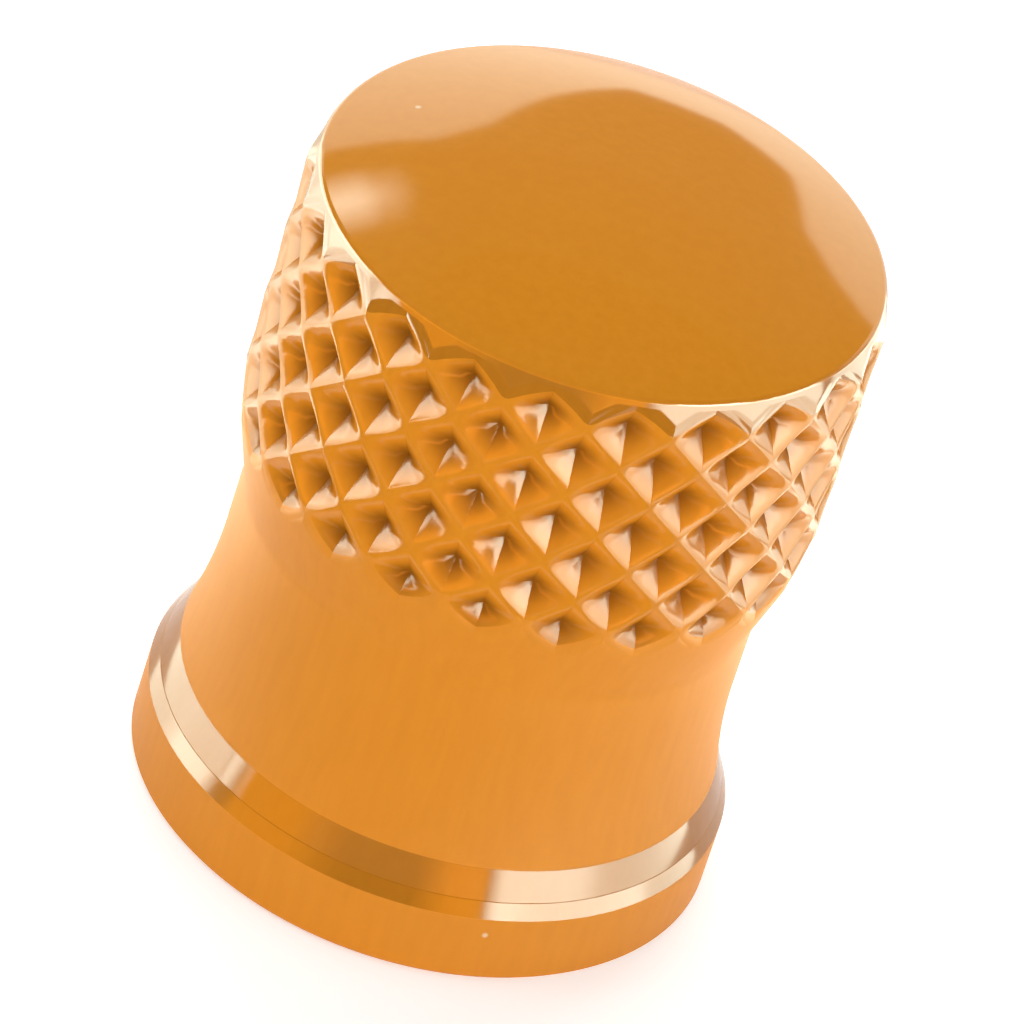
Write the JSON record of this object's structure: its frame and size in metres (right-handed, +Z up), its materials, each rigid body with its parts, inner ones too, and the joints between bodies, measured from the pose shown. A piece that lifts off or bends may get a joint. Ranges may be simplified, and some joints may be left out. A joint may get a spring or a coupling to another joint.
{
  "type": "tyre valve cap",
  "caption": "Knurled aluminium valve cap with a domed crown, a plain waist, a flanged open end and a rubber seal inside its tapped bore.",
  "frame": {"origin": "centre of the open rim, on the face that the cap stands on", "axes": "+Z up the axis, from the open rim to the domed crown; the first column of knurl pits faces -Y"},
  "size_m": [0.0108, 0.0108, 0.0138],
  "materials": {
    "anodised_aluminium": "orange anodised, polished crown and bevels, satin waist and flange",
    "seal_rubber": "matte black"
  },
  "bodies": {
    "root": {"cap_body": "anodised_aluminium", "seal_ring": "seal_rubber"}
  },
  "joints": []
}
